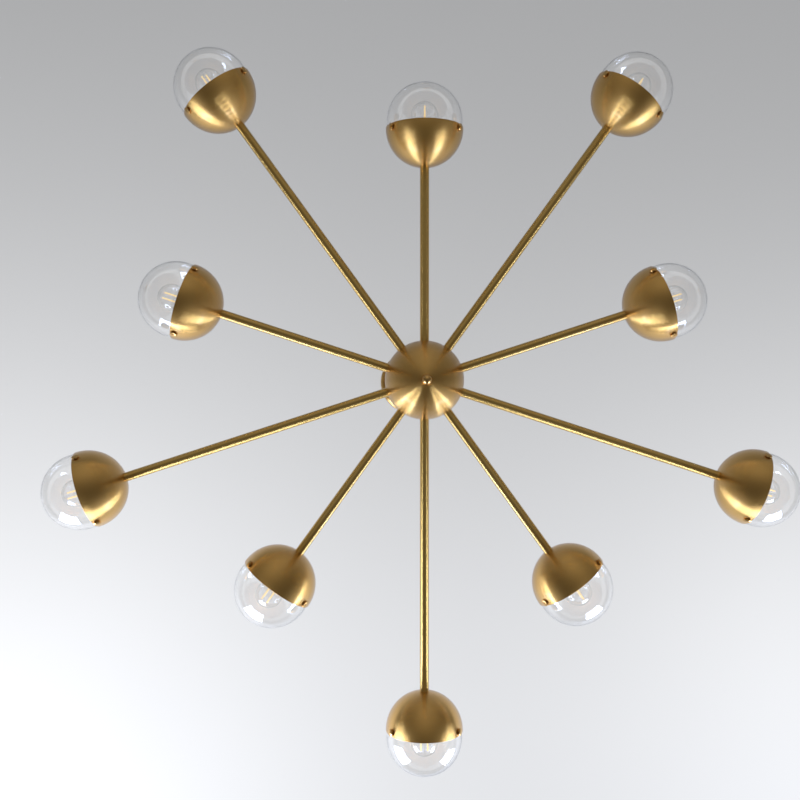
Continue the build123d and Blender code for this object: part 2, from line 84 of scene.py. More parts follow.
def slide_axis(joint_name):
    joint = next(j for j in frame["joints"] if j["name"] == joint_name)
    axis = np.array(joint["axis"], float)
    return axis / np.linalg.norm(axis)


def half_size(node, side):
    low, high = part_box(node)
    return (high[side] - low[side]) / 2


HUB_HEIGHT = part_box("hub_upper_shell")[0].z
HUB_RADIUS = half_size("hub_upper_shell", 0)
TUBE_RADIUS = half_size("stem", 0)
CUP_RADIUS = half_size("cup_01", 2)
CANOPY_RADIUS = half_size("canopy_cover", 0)
CANOPY_DEPTH = -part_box("canopy_cover")[0].z
BODY_OF = {node: body for body, nodes in frame["record"]["behaviour"]["bodies"].items() for node in nodes}


# ---- properties, which the panel labels with their identifiers ----
def mm(description, default):
    return FloatProperty(description=description, default=default * MM, unit="LENGTH", precision=5)


def share(description, default):
    return FloatProperty(description=description, default=default, min=0.0, subtype="FACTOR")


def colour(description, default):
    return FloatVectorProperty(description=description, default=default, size=3, subtype="COLOR")


def spot(description, default):
    return FloatVectorProperty(description=description, default=default, unit="LENGTH", precision=4)


class CoverSizes(PropertyGroup):
    wall: mm("Wall of the spun brass covers", 1.2)
    ease: mm("Rounding of sheet edges", 0.35)
    canopy_corner: mm("Outside radius between side and face", 9.0)
    notch_gap: mm("Room between a shell's notch and the arm", 0.3)
    stem_gap: mm("Room between the upper shell and the stem", 0.1)
    finial: mm("Diameter of the ball under the hub", 16.0)
    finial_neck: mm("Diameter of the finial's neck", 10.0)
    nut: mm("Diameter of the canopy's domed nuts", 12.0)
    nut_skirt: mm("Straight part under the dome", 3.0)
    tube_bore: mm("Bore of stem and arms", 7.8)
    nipple: mm("Diameter of the tubes' threaded ends", 10.0)


class LampSizes(PropertyGroup):
    back_thickness: mm("Thickness of the cup's back", 2.5)
    cup_hole: mm("Hole in the cup's back", 10.4)
    globe_wall: mm("Wall of the globe", 1.8)
    globe_set_out: mm("Middle of the globe beyond the middle of the cup", 12.0)
    rim_gap: mm("Glass to cup at the rim", 1.3)
    neck: mm("Diameter of the globe's neck", 114.0)
    neck_length: mm("Length of the globe's neck", 15.0)
    neck_start: mm("The neck's shoulder behind the cup's rim", 1.0)
    shoulder_ease: mm("Rounding of the blown shoulder", 1.6)
    screw_inset: mm("Screw axis behind the rim", 6.4)
    screw_head: mm("Diameter of the shade screws' heads", 12.0)
    screw_side: mm("Straight side of a screw head", 2.4)
    screw_dome: mm("Rise of a screw head's dome", 1.0)
    screw_shank: mm("Diameter of a shade screw", 4.0)
    boss: mm("Diameter of the screw bosses in the cup", 9.0)
    boss_depth: mm("Depth of a screw boss", 2.8)
    holder_cap: mm("Diameter of the lamp holder's cap", 28.0)
    holder_cap_length: mm("Length of the lamp holder's cap", 13.0)
    holder_skirt: mm("Diameter of the lamp holder's skirt", 39.0)
    holder_length: mm("Length of the lamp holder", 57.0)
    holder_cavity: mm("Bore that takes the bulb", 27.2)
    holder_depth: mm("Depth of that bore", 30.5)
    screws: IntProperty(description="Shade screws on each cup", default=3)
    first_screw: FloatProperty(
        description="Turn of the first screw from straight down", default=math.radians(60), subtype="ANGLE"
    )


class BulbSizes(PropertyGroup):
    envelope: mm("Diameter of the bulb", 45.0)
    glass: mm("Wall of the bulb", 0.8)
    neck: mm("Diameter of the bulb's neck", 25.0)
    neck_length: mm("Straight neck above the cap", 4.0)
    cap: mm("Diameter of the screw cap", 26.0)
    cap_length: mm("Length of the threaded shell", 20.5)
    taper: mm("Length of the insulating taper", 5.0)
    taper_end: mm("Diameter of the taper at the contact", 17.0)
    contact: mm("Diameter of the centre contact", 9.0)
    contact_height: mm("Height of the centre contact", 1.2)
    pitch: mm("Pitch of the rolled thread", 3.6)
    thread: mm("Depth of the rolled thread", 0.9)
    flare: mm("Diameter of the glass mount's foot", 9.0)
    flare_length: mm("Length of the mount's foot", 12.0)
    rod: mm("Diameter of the mount's rod", 2.4)
    filament: mm("Diameter of a filament stick", 2.2)
    filament_spacing: mm("Distance between the sticks", 11.0)
    filament_length: mm("Length of a filament stick", 28.0)
    tip_gap: mm("Filament end to the bulb's tip", 7.0)
    wire: mm("Diameter of the mount's wires", 0.9)


class Finish(PropertyGroup):
    brass: colour("Satin brass", (0.80, 0.485, 0.152))
    tube_brass: colour("Satin brass of the tubes", (0.77, 0.51, 0.16))
    bright: colour("Polished brass of finial and screws", (0.78, 0.48, 0.17))
    brushed_spread: share("Slope of the turned grooves' walls", 0.32)
    drawn_spread: share("The same on the tubes", 0.36)
    groove: mm("Pitch of the turned grooves", 0.14)
    bright_spread: share("The same on polished brass", 0.05)
    roughness: share("Roughness of satin brass across the grooves", 0.2)
    tube_roughness: share("The same on the tubes", 0.1)
    bright_roughness: share("Roughness of polished brass", 0.09)
    glass: colour("Clear glass", (1.0, 1.0, 1.0))
    glow: colour("Light of the filaments", (1.0, 0.66, 0.24))
    glow_strength: FloatProperty(description="Strength of the filaments", default=0.8)


class Studio(PropertyGroup):
    camera_place: spot("Where the camera stands", (-0.0879, 0.0147, -2.1163))
    camera_turn: FloatVectorProperty(
        description="Turn of the camera about X, Y and Z",
        default=[math.radians(a) for a in (179.3475, 1.7224, -0.0106)],
        subtype="EULER",
    )
    lens: FloatProperty(description="Focal length on a 36 mm sensor", default=43.508, unit="CAMERA")
    left_box: spot("Middle of the left soft box", (-1.05, 1.41, -0.53))
    right_box: spot("Middle of the right soft box", (1.20, 1.60, -0.53))
    box_width: FloatProperty(description="Width of a soft box", default=0.9, unit="LENGTH")
    box_height: FloatProperty(description="Height of a soft box", default=0.84, unit="LENGTH")
    box_power: FloatProperty(description="Watts of a soft box", default=20.0)
    ceiling_radius: FloatProperty(description="Radius of the ceiling", default=7.0, unit="LENGTH")
    ceiling_tone: colour("Tint of the ceiling", (0.995, 1.0, 1.012))


# ---- shapes ----
class Shape:
    """A closed surface: points, four-sided and three-sided faces, and two facts for each point that the
    finishes read: the distance along the outline, and the direction in which the piece was turned."""

    def __init__(self, points, quads, tris, along, turning):
        self.points, self.quads, self.tris = points, quads, tris
        self.along, self.turning = along, turning

    def placed(self, middle, axis):
        """Turns local x onto the axis and local z as near to up as it can be, and moves it to the middle."""
        side = np.cross(UP, axis)
        side = side / np.linalg.norm(side) if np.linalg.norm(side) > 1e-6 else np.array((0.0, 1.0, 0.0))
        turn = np.array((axis, side, np.cross(axis, side)))
        return Shape(self.points @ turn + middle, self.quads, self.tris, self.along, self.turning @ turn)


def joined(shapes):
    """Several shapes as one."""
    starts = np.cumsum([0] + [len(s.points) for s in shapes[:-1]])
    return Shape(
        np.concatenate([s.points for s in shapes]),
        np.concatenate([s.quads + start for s, start in zip(shapes, starts)]),
        np.concatenate([s.tris + start for s, start in zip(shapes, starts)]),
        np.concatenate([s.along for s in shapes]),
        np.concatenate([s.turning for s in shapes]),
    )


def swept(x, r, turns, closed):
    """Surface round the x axis. Row i and column j of the grids x and r give the point
    (x, r cos t, r sin t) with t = 2 pi j / turns. A closed outline joins its last row to its first, and an
    open one starts and ends on the axis, where the whole row is a single point."""
    rows = x.shape[0]
    angle = np.linspace(0, 2 * np.pi, turns, endpoint=False)[None, :]
    points = np.stack([x, r * np.cos(angle), r * np.sin(angle)], -1)
    turning = np.broadcast_to(np.stack([0 * angle, -np.sin(angle), np.cos(angle)], -1), points.shape)
    step = np.hypot(np.diff(x[:, 0]), np.diff(r[:, 0]))
    along = np.broadcast_to(np.concatenate([[0], np.cumsum(step)])[:, None], x.shape)
    index = np.arange(rows * turns).reshape(rows, turns)
    if not closed:
        index[0] = index[0, 0]
        index[-1] = index[-1, 0]
    lower = index if closed else index[:-1]
    upper = np.roll(index, -1, 0) if closed else index[1:]
    faces = np.stack([lower, np.roll(lower, -1, 1), np.roll(upper, -1, 1), upper], -1).reshape(-1, 4)
    used = np.unique(faces)
    renumber = np.zeros(rows * turns, int)
    renumber[used] = np.arange(len(used))
    faces = renumber[faces]
    first_pole = faces[:, 0] == faces[:, 1]
    last_pole = faces[:, 2] == faces[:, 3]
    quads = faces[~first_pole & ~last_pole]
    tris = np.concatenate([faces[first_pole][:, [0, 2, 3]], faces[last_pole][:, [0, 1, 2]]])
    points, turning = (rows.reshape(-1, 3)[used] for rows in (points, turning))
    return outward(Shape(points, quads, tris, along.reshape(-1)[used], turning))


def outward(shape):
    """Turns all faces round where they enclose a negative volume, worked out as the sum of the signed
    volumes between each face and the origin."""
    a, b, c, d = (shape.points[shape.quads[:, k]] for k in range(4))
    p, q, s = (shape.points[shape.tris[:, k]] for k in range(3))
    volume = (a * np.cross(b, c)).sum() + (a * np.cross(c, d)).sum() + (p * np.cross(q, s)).sum()
    if volume < 0:
        shape.quads, shape.tris = shape.quads[:, ::-1], shape.tris[:, ::-1]
    return shape


def lathe(outline, turns=96, closed=True):
    """Surface of revolution of an outline of (x, radius) rows."""
    grid = np.repeat(outline[:, :, None], turns, axis=2)
    return swept(grid[:, 0], grid[:, 1], turns, closed)


def arc(centre, radius, start, end, count):
    """Part of a circle about a point on the axis, from one place along x to another, on the outline's
    side: angle t runs evenly and gives (centre + radius cos t, radius sin t)."""
    first, last = (math.acos(max(-1.0, min(1.0, (x - centre) / radius))) for x in (start, end))
    t = np.linspace(first, last, count)
    return np.stack([centre + radius * np.cos(t), radius * np.sin(t)], -1)


def ring(centre, radius, first, last, count):
    """Part of a circle about any point, angles in degrees."""
    t = np.radians(np.linspace(first, last, count))
    return np.stack([centre[0] + radius * np.cos(t), centre[1] + radius * np.sin(t)], -1)


def chord(radius, offset):
    return math.sqrt(max(radius**2 - offset**2, 0.0))


def eased(parts, ease, closed=True, steps=4, sharp=25.0):
    """Outline with each sharp corner rounded: a parabola leaves one side at the ease before the corner and
    meets the other side at the ease behind it. One more point on each side keeps the flats flat."""
    corner_list = np.concatenate([np.atleast_2d(np.asarray(p, float)) for p in parts])
    keep = np.linalg.norm(np.diff(corner_list, axis=0), axis=1) > 1e-7
    corner_list = corner_list[np.concatenate([[True], keep])]
    count = len(corner_list)
    result = []
    for i, point in enumerate(corner_list):
        if not closed and i in (0, count - 1):
            result.append(point)
            continue
        before = corner_list[i - 1] - point
        after = corner_list[(i + 1) % count] - point
        room = np.linalg.norm(before), np.linalg.norm(after)
        before, after = before / room[0], after / room[1]
        turn = 180 - math.degrees(math.acos(max(-1.0, min(1.0, before @ after))))
        if turn < sharp:
            result.append(point)
            continue
        set_back = min(ease, 0.42 * room[0], 0.42 * room[1])
        start, end = point + before * set_back, point + after * set_back
        if room[0] > 4 * set_back:
            result.append(point + before * 1.8 * set_back)
        for t in np.linspace(0, 1, steps + 1):
            result.append((1 - t) ** 2 * start + 2 * t * (1 - t) * point + t**2 * end)
        if room[1] > 4 * set_back:
            result.append(point + after * 1.8 * set_back)
    return np.array(result)


def bar(radius, start, end, ease, turns=32):
    """Solid round bar along x, closed at both ends."""
    outline = eased([(start, 0), (start, radius), (end, radius), (end, 0)], ease, closed=False)
    return lathe(outline, turns, closed=False)


def tube(outside, bore, ends, ease, turns=48):
    """Pipe with stepped outsides: radii between successive ends along x, and a bore through it all."""
    outline = []
    for radius, start, end in zip(outside, ends[:-1], ends[1:]):
        outline += [(start, radius), (end, radius)]
    outline += [(ends[-1], bore), (ends[0], bore)]
    return lathe(eased([outline], ease), turns)


def piece(name, shape, look, node):
    """Puts a shape with a finish into a mesh that rides on the node's body and stands for the node."""
    mesh = bpy.data.meshes.new(name)
    loops = np.concatenate([shape.quads.reshape(-1), shape.tris.reshape(-1)])
    totals = np.concatenate([np.full(len(shape.quads), 4), np.full(len(shape.tris), 3)])
    mesh.vertices.add(len(shape.points))
    mesh.vertices.foreach_set("co", shape.points.astype(np.float32).reshape(-1))
    mesh.loops.add(len(loops))
    mesh.loops.foreach_set("vertex_index", loops.astype(np.int32))
    mesh.polygons.add(len(totals))
    mesh.polygons.foreach_set("loop_start", np.concatenate([[0], np.cumsum(totals)[:-1]]).astype(np.int32))
    mesh.polygons.foreach_set("use_smooth", np.ones(len(totals), bool))
    mesh.update(calc_edges=True)
    mesh.validate()
    mesh.attributes.new("along", "FLOAT", "POINT").data.foreach_set("value", shape.along.astype(np.float32))
    mesh.attributes.new("turning", "FLOAT_VECTOR", "POINT").data.foreach_set(
        "vector", shape.turning.astype(np.float32).reshape(-1)
    )
    mesh.materials.append(finish(look))
    thing = bpy.data.objects.new(name, mesh)
    bpy.context.scene.collection.objects.link(thing)
    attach(thing, BODY_OF[node])
    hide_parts(node)


# ---- finishes ----
class Value:
    """A number socket of a shader. Sums and products with it add Math nodes."""

    def __init__(self, shader, socket):
        self.shader, self.socket = shader, socket

    def math(self, operation, *others, swapped=False):
        terms = (*others, self) if swapped else (self, *others)
        return self.shader.add("Math", "Value", {"operation": operation}, *terms)

    def __add__(self, other):
        return self.math("ADD", other)

    def __sub__(self, other):
        return self.math("SUBTRACT", other)

    def __rsub__(self, other):
        return self.math("SUBTRACT", other, swapped=True)

    def __mul__(self, other):
        return self.math("MULTIPLY", other)

    __radd__ = __add__
    __rmul__ = __mul__


class Shader:
    """Node tree of a material or of the world, built from Python expressions."""

    def __init__(self, owner):
        owner.use_nodes = True
        self.tree = owner.node_tree
        self.tree.nodes.clear()

    def add(self, kind, output, settings, *values, **named):
        """Makes a node: settings first, then the values or links of its sockets. Returns one output."""
        node = self.tree.nodes.new("ShaderNode" + kind)
        for key, value in settings.items():
            if key == "stops":
                self.set_stops(node.color_ramp, value)
            else:
                setattr(node, key, value)
        for socket, value in zip(node.inputs, values):
            self.feed(socket, value)
        for key, value in named.items():
            self.feed(node.inputs[key.replace("_", " ")], value)
        return Value(self, node.outputs[output] if output else None)

    def feed(self, socket, value):
        if isinstance(value, Value):
            self.tree.links.new(value.socket, socket)
        else:
            socket.default_value = value

    @staticmethod
    def set_stops(ramp, stops):
        while len(ramp.elements) < len(stops):
            ramp.elements.new(0.5)
        for element, (place, tone) in zip(ramp.elements, stops):
            element.position, element.color = place, (tone, tone, tone, 1)

    def vector(self, operation, *values):
        output = "Value" if operation in ("DOT_PRODUCT", "LENGTH") else "Vector"
        return self.add("VectorMath", output, {"operation": operation}, *values)

    def scaled(self, vector, factor):
        return self.add("VectorMath", "Vector", {"operation": "SCALE"}, vector, Scale=factor)

    def mixed(self, factor, first, second):
        """Colour between two colours."""
        node = self.tree.nodes.new("ShaderNodeMix")
        node.data_type = "RGBA"
        self.feed(node.inputs["Factor"], factor)
        self.feed(node.inputs[6], first)
        self.feed(node.inputs[7], second)
        return Value(self, node.outputs[2])

    def ray(self, kind):
        """1 for light paths of that kind, else 0."""
        return self.add("LightPath", f"Is {kind} Ray", {})

    def attribute(self, name, output):
        return self.add("Attribute", output, {"attribute_name": name})

    def own_place(self):
        return self.add("TexCoord", "Object", {})

    def rings(self, pitch, detail, roughness=0.5):
        """Noise of the distance along the outline, which makes rings round a turned piece, 0 to 1."""
        turned = self.attribute("along", "Fac") * (1 / pitch)
        settings = {"noise_dimensions": "1D"}
        return self.add("TexNoise", "Fac", settings, W=turned, Scale=1.0, Detail=detail, Roughness=roughness)

    def bump(self, strength, distance, height):
        return self.add("Bump", "Normal", {}, Strength=strength, Distance=distance, Height=height)

    def noise(self, scale, detail):
        """Noise over the piece's own place, 0 to 1."""
        settings = {"noise_dimensions": "3D"}
        return self.add("TexNoise", "Fac", settings, Vector=self.own_place(), Scale=scale, Detail=detail)

    def surface(self, **sockets):
        return self.add("BsdfPrincipled", "BSDF", {}, **sockets)

    def blend(self, factor, first, second):
        return self.add("MixShader", "Shader", {}, factor, first, second)

    def glow(self, tone, strength):
        return self.add("Emission", "Emission", {}, Color=tone, Strength=strength)

    def output(self, surface, kind="Material"):
        self.add("Output" + kind, None, {}, Surface=surface)


def solid(rgb):
    return (*rgb, 1.0)


def material(name):
    made = bpy.data.materials.new(name)
    return made, Shader(made)


def grooved_normals(shader, pitch, slopes):
    """Normals of a turned surface. Fine grooves run round the piece, and each slope stands for the groove
    walls that lean that far along the outline: normal = N + A (slope + ripple), where A points across the
    grooves and the ripple is noise of the distance along the outline that fills the step between slopes."""
    normal = shader.add("NewGeometry", "Normal", {})
    to_world = {"vector_type": "VECTOR", "convert_from": "OBJECT", "convert_to": "WORLD"}
    turning = shader.add("VectorTransform", "Vector", to_world, shader.attribute("turning", "Vector"))
    across = shader.vector("NORMALIZE", shader.vector("CROSS_PRODUCT", turning, normal))
    step = abs(slopes[1] - slopes[0])
    ripple = (shader.rings(pitch, 1.0, 0.6) - 0.5) * (0.9 * step)
    return [
        shader.vector("NORMALIZE", shader.vector("ADD", normal, shader.scaled(across, ripple + slope)))
        for slope in slopes
    ]


GROOVE_SLOPES = (0, 0.4, -0.4, 0.8, -0.8, 1.2, -1.2, 1.6, -1.6)


def turned_brass(name, rgb, roughness, spread, pitch):
    """Satin brass turned on a lathe: faint rings of tone, a slightly uneven lacquer, and one lobe for each
    groove slope. A lobe's part is exp(-slope^2 / (2 spread^2)), and the upright one comes first."""
    made, shader = material(name)
    cloud = shader.noise(28.0, 3.0)
    tone = shader.rings(12 * pitch, 3.0) * 0.5 + cloud * 0.5
    dark = [c * f for c, f in zip(rgb, (0.90, 0.86, 0.80))]
    light = [min(c * f, 1.0) for c, f in zip(rgb, (1.06, 1.08, 1.12))]
    metal = {
        "Base_Color": shader.mixed(tone, solid(dark), solid(light)),
        "Metallic": 1.0,
        "Roughness": cloud * 0.04 + (roughness - 0.02),
        "Coat_Weight": 0.4,
        "Coat_Roughness": 0.2,
    }
    slopes = [spread * share for share in GROOVE_SLOPES]
    surface, sum_of_parts = None, 0.0
    for slope, normal in zip(slopes, grooved_normals(shader, pitch, slopes)):
        wall = shader.surface(**metal, Normal=normal)
        part = math.exp(-0.5 * (slope / spread) ** 2)
        sum_of_parts += part
        surface = shader.blend(part / sum_of_parts, surface, wall) if surface else wall
    shader.output(surface)
    return made


def clear_glass(name, rgb, ior):
    """Clear blown glass, a little uneven, with a painted pale glow on its grazing rim, and whose shadow is clear.
    """
    made, shader = material(name)
    glass = shader.surface(
        Base_Color=solid(rgb),
        Roughness=0.0,
        IOR=ior,
        Transmission_Weight=1.0,
        Coat_Weight=1.0,
        Coat_Roughness=0.02,
        Normal=shader.bump(0.12, 0.0004, shader.noise(22.0, 1.0)),
    )
    through = shader.add("BsdfTransparent", "BSDF", {}, solid(rgb))
    # painted rim light: a pale emission mixed in where the glass is seen edge-on
    rim = shader.add("LayerWeight", "Facing", {}, Blend=0.5).math("POWER", 14.0) * 0.8
    body = shader.blend(rim, glass, shader.glow((0.60, 0.61, 0.63, 1), 1.0))
    shader.output(shader.blend(shader.ray("Shadow"), body, through))
    return made


def plain_metal(name, rgb, roughness, spread=0.06):
    """Plated or cast metal with a faint mottle."""
    made, shader = material(name)
    mottle = shader.noise(160.0, 4.0)
    base = shader.mixed(mottle, solid([c * 0.9 for c in rgb]), solid(rgb))
    surface = shader.surface(Base_Color=base, Metallic=1.0, Roughness=mottle * spread + roughness)
    shader.output(surface)
    return made


def glazed(name, rgb, roughness):
    """Glazed or moulded insulator."""
    made, shader = material(name)
    cloud = shader.noise(60.0, 2.0)
    base = shader.mixed(cloud, solid([c * 0.94 for c in rgb]), solid(rgb))
    surface = shader.surface(
        Base_Color=base,
        Roughness=cloud * 0.1 + roughness,
        IOR=1.5,
        Coat_Weight=0.4,
        Coat_Roughness=0.1,
        Normal=shader.bump(0.1, 0.0003, shader.noise(220.0, 2.0)),
    )
    shader.output(surface)
    return made


def bulb_cap_metal(name, taper_end):
    """Nickel-plated cap whose insulating foot is black glass."""
    made, shader = material(name)
    along = shader.attribute("along", "Fac")
    foot = along.math("LESS_THAN", taper_end) * along.math("GREATER_THAN", 0.3 * taper_end)
    mottle = shader.noise(300.0, 3.0)
    nickel = shader.mixed(mottle, (0.62, 0.60, 0.56, 1), (0.74, 0.72, 0.68, 1))
    base = shader.mixed(foot, nickel, (0.02, 0.02, 0.025, 1))
    surface = shader.surface(Base_Color=base, Metallic=1 - foot, Roughness=mottle * 0.1 + 0.2)
    shader.output(surface)
    return made


def filament_glow(name, rgb, strength):
    """Phosphor stick that glows, a little brighter in grains where the chips sit."""
    made, shader = material(name)
    grain = shader.noise(900.0, 1.0)
    tone = shader.mixed(grain, solid([c * 0.85 for c in rgb]), solid(rgb))
    surface = shader.surface(
        Base_Color=(0.9, 0.62, 0.2, 1), Roughness=0.5, Emission_Color=tone, Emission_Strength=strength
    )
    shader.output(surface)
    return made


def make_finishes(look):
    """All finishes of the object, by name."""
    brasses = (
        ("spun", "spun satin brass", look.brass, look.roughness, look.brushed_spread),
        ("drawn", "drawn satin brass", look.tube_brass, look.tube_roughness, look.drawn_spread),
        ("bright", "polished brass", look.bright, look.bright_roughness, look.bright_spread),
    )
    return {
        **{key: turned_brass(*values, pitch=look.groove) for key, *values in brasses},
        "globe": clear_glass("clear globe glass", look.glass, 1.47),
        "bulb": clear_glass("clear bulb glass", look.glass, 1.5),
        "cap": bulb_cap_metal("nickel bulb cap", CAP_FOOT),
        "glow": filament_glow("glowing filament", look.glow, look.glow_strength),
        "wire": plain_metal("nickel wire", (0.75, 0.74, 0.72), 0.25),
        "porcelain": glazed("cream porcelain", (0.86, 0.84, 0.79), 0.15),
        "zinc": plain_metal("zinc plate", (0.62, 0.63, 0.64), 0.35),
        "green": glazed("green screw paint", (0.06, 0.30, 0.12), 0.35),
        "sheath": glazed("lead sheath", (0.75, 0.73, 0.68), 0.45),
    }


FINISHES = {}


def finish(name):
    if not FINISHES:
        FINISHES.update(make_finishes(bpy.context.scene.chandelier_finish))
    return FINISHES[name]


def dress(node, name):
    """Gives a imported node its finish."""
    mesh = frame["nodes"][node].data
    mesh.materials.clear()
    mesh.materials.append(finish(name))


# ---- ceiling fitting ----
class CHANDELIER_OT_canopy(Operator):
    """Canopy pan, its domed nuts, the swivel ball and the ceiling hardware"""

    bl_idname = "chandelier.canopy"
    bl_label = "Canopy"

    def execute(self, context):
        sizes = context.scene.chandelier_covers
        self.pan(sizes)
        self.nuts(sizes)
        self.ball(sizes)
        for node in ("mounting_plate", "canopy_studs", "swivel_seat"):
            dress(node, "zinc")
        dress("ground_screw", "green")
        return {"FINISHED"}

    def pan(self, sizes):
        """Outline of the pan with x up: side, rounded corner, face with the swivel's hole, and back inside
        at the sheet's thickness."""
        depth, wall, corner = -CANOPY_DEPTH, sizes.wall, sizes.canopy_corner
        hole = reach_of_hole("canopy_cover", -CANOPY_DEPTH)
        outside = ring((depth + corner, CANOPY_RADIUS - corner), corner, 90, 180, 12)
        inside = ring((depth + corner, CANOPY_RADIUS - corner), corner - wall, 180, 90, 12)
        rim, back = (0, CANOPY_RADIUS), (0, CANOPY_RADIUS - wall)
        outline = eased([rim, outside, (depth, hole), (depth + wall, hole), inside, back], sizes.ease)
        shape = lathe(outline, PAN_TURNS).placed(np.zeros(3), UP)
        piece("canopy_pan", shape, "spun", "canopy_cover")

    def nuts(self, sizes):
        """Domed nut: a skirt, then a quarter circle to the pole."""
        radius, skirt = sizes.nut / 2, sizes.nut_skirt
        studs = corners_of("canopy_studs")
        spread = (studs[:, 1].max() - studs[:, 1].min()) / 2 - half_size("canopy_studs", 0)
        dome = ring((-skirt, 0), radius, 90, 180, 12)
        outline = eased([(0, 0), (0, radius), dome], sizes.ease, closed=False)
        nut = lathe(outline, 48, closed=False)
        places = [np.array((0, side * spread, -CANOPY_DEPTH)) for side in (-1, 1)]
        shape = joined([nut.placed(place, UP) for place in places])
        piece("cap_nuts", shape, "bright", "canopy_cap_nuts")

    def ball(self, sizes):
        """Ball with flats above and below and a bore for the stem."""
        low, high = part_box("swivel_ball")
        radius, bore = half_size("swivel_ball", 0), sizes.nipple / 2
        joint = next(j for j in frame["joints"] if j["name"] == "swivel_tilt")
        middle = joint["pos_m"][2]
        bottom, top = low.z - middle, high.z - middle
        outline = eased([arc(0, radius, bottom, top, 40), (top, bore), (bottom, bore)], sizes.ease)
        shape = lathe(outline, 96).placed(np.array((0, 0, middle)), UP)
        piece("swivel", shape, "spun", "swivel_ball")


def reach_of_hole(node, height):
    """Radius of the round hole at the axis in a node's face at a height."""
    points = corners_of(node)
    level = points[np.abs(points[:, 2] - height) < 0.1 * MM]
    return np.hypot(level[:, 0], level[:, 1]).min()


def bores(sizes):
    """Radii of a tube between its threaded ends, and of the bore through them."""
    return (sizes.nipple / 2, TUBE_RADIUS, sizes.nipple / 2), sizes.tube_bore / 2


class CHANDELIER_OT_stem(Operator):
    """Stem with its threaded ends"""

    bl_idname = "chandelier.stem"
    bl_label = "Stem"

    def execute(self, context):
        sizes = context.scene.chandelier_covers
        low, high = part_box("stem")
        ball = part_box("swivel_ball")[0].z
        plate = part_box("hub_top_plate")[1].z
        shape = tube(*bores(sizes), (low.z, plate, ball, high.z), sizes.ease).placed(np.zeros(3), UP)
        piece("stem_tube", shape, "drawn", "stem")
        dress("supply_lead", "sheath")
        return {"FINISHED"}


class CHANDELIER_OT_hub(Operator):
    """Both hub shells with their notches, the collar, the finial and the core"""

    bl_idname = "chandelier.hub"
    bl_label = "Hub"

    def execute(self, context):
        sizes = context.scene.chandelier_covers
        stud = corners_of("finial")
        stud_radius = np.hypot(stud[:, 0], stud[:, 1])[stud[:, 2] > HUB_HEIGHT - HUB_RADIUS / 2].max()
        self.shell("hub_shell_upper", 1, TUBE_RADIUS + sizes.stem_gap, "hub_upper_shell", sizes)
        self.shell("hub_shell_lower", -1, stud_radius + sizes.notch_gap, "hub_lower_shell", sizes)
        self.finial(sizes, stud_radius)
        dress("hub_collar", "bright")
        for node in ("hub_core", "hub_top_plate", "hub_plate_screws", "stem_lock_nut"):
            dress(node, "zinc")
        return {"FINISHED"}

    def shell(self, name, side, pole_hole, node, sizes):
        """Half ball cut away round the arms. For each turn t the section starts at the hole round the pole,
        follows the ball to the edge, and comes back inside. The edge is at the ball's equator, and round an
        arm it rises to sqrt(notch^2 - y^2), where y is the distance sideways from the arm. Placed on the
        pole, turn t lies at the compass angle of 90 degrees plus or minus t."""
        turns = HUB_TURNS
        turn = np.linspace(0, 2 * np.pi, turns, endpoint=False)
        first = math.atan2(*slide_axis("globe_01_out")[[1, 0]])
        spacing = 2 * np.pi / len(LAMP_NUMBERS)
        compass = np.pi / 2 + side * turn
        offset = (compass - first + spacing / 2) % spacing - spacing / 2
        notch = TUBE_RADIUS + sizes.notch_gap
        share_out = np.linspace(0, 1, 40)[:, None] ** 0.9
        levels, radii = [], []
        for radius, order in ((HUB_RADIUS, 1), (HUB_RADIUS - sizes.wall, -1)):
            sideways = radius * np.sin(offset)
            edge = np.sqrt(np.maximum(notch**2 - sideways**2, 0.0))
            low = np.arcsin(np.minimum(edge / radius, 1.0))[None, :]
            high = math.acos(pole_hole / radius)
            lift = high + (low - high) * share_out
            lift = lift[::order]
            levels.append(radius * np.sin(lift))
            radii.append(radius * np.cos(lift))
        x = np.concatenate(levels)
        r = np.concatenate(radii)
        shape = swept(x, r, turns, closed=True).placed(np.array((0, 0, HUB_HEIGHT)), UP * side)
        piece(name, outward(shape), "spun", node)

    def finial(self, sizes, stud_radius):
        """Ball, short neck and stud, with x up: pole, sphere to the neck, neck, stud."""
        low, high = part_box("finial")
        radius, neck = sizes.finial / 2, sizes.finial_neck / 2
        shoulder = HUB_HEIGHT - HUB_RADIUS
        middle = low.z + radius
        top = middle + chord(radius, neck)
        outline = eased(
            [
                arc(middle, radius, low.z, top, 32),
                (shoulder, neck),
                (shoulder, stud_radius),
                (high.z, stud_radius),
                (high.z, 0),
            ],
            sizes.ease,
            closed=False,
        )
        shape = lathe(outline, 96, closed=False).placed(np.zeros(3), UP)
        piece("finial_ball", shape, "bright", "finial")


# ---- arms and lamps ----
class Lamp:
    """Place of one lamp: its axis, the middle of its cup and the lengths along its axis."""

    def __init__(self, number, sizes):
        self.number = number
        self.axis = slide_axis(f"globe_{number}_out")
        self.back, self.reach = reach_along(f"cup_{number}", self.axis)
        self.middle = self.axis * self.reach + UP * HUB_HEIGHT
        self.back -= self.reach
        self.floor = self.back + sizes.back_thickness

    def place(self, shape):
        return shape.placed(self.middle, self.axis)


def lamps(sizes):
    return [Lamp(number, sizes) for number in LAMP_NUMBERS]


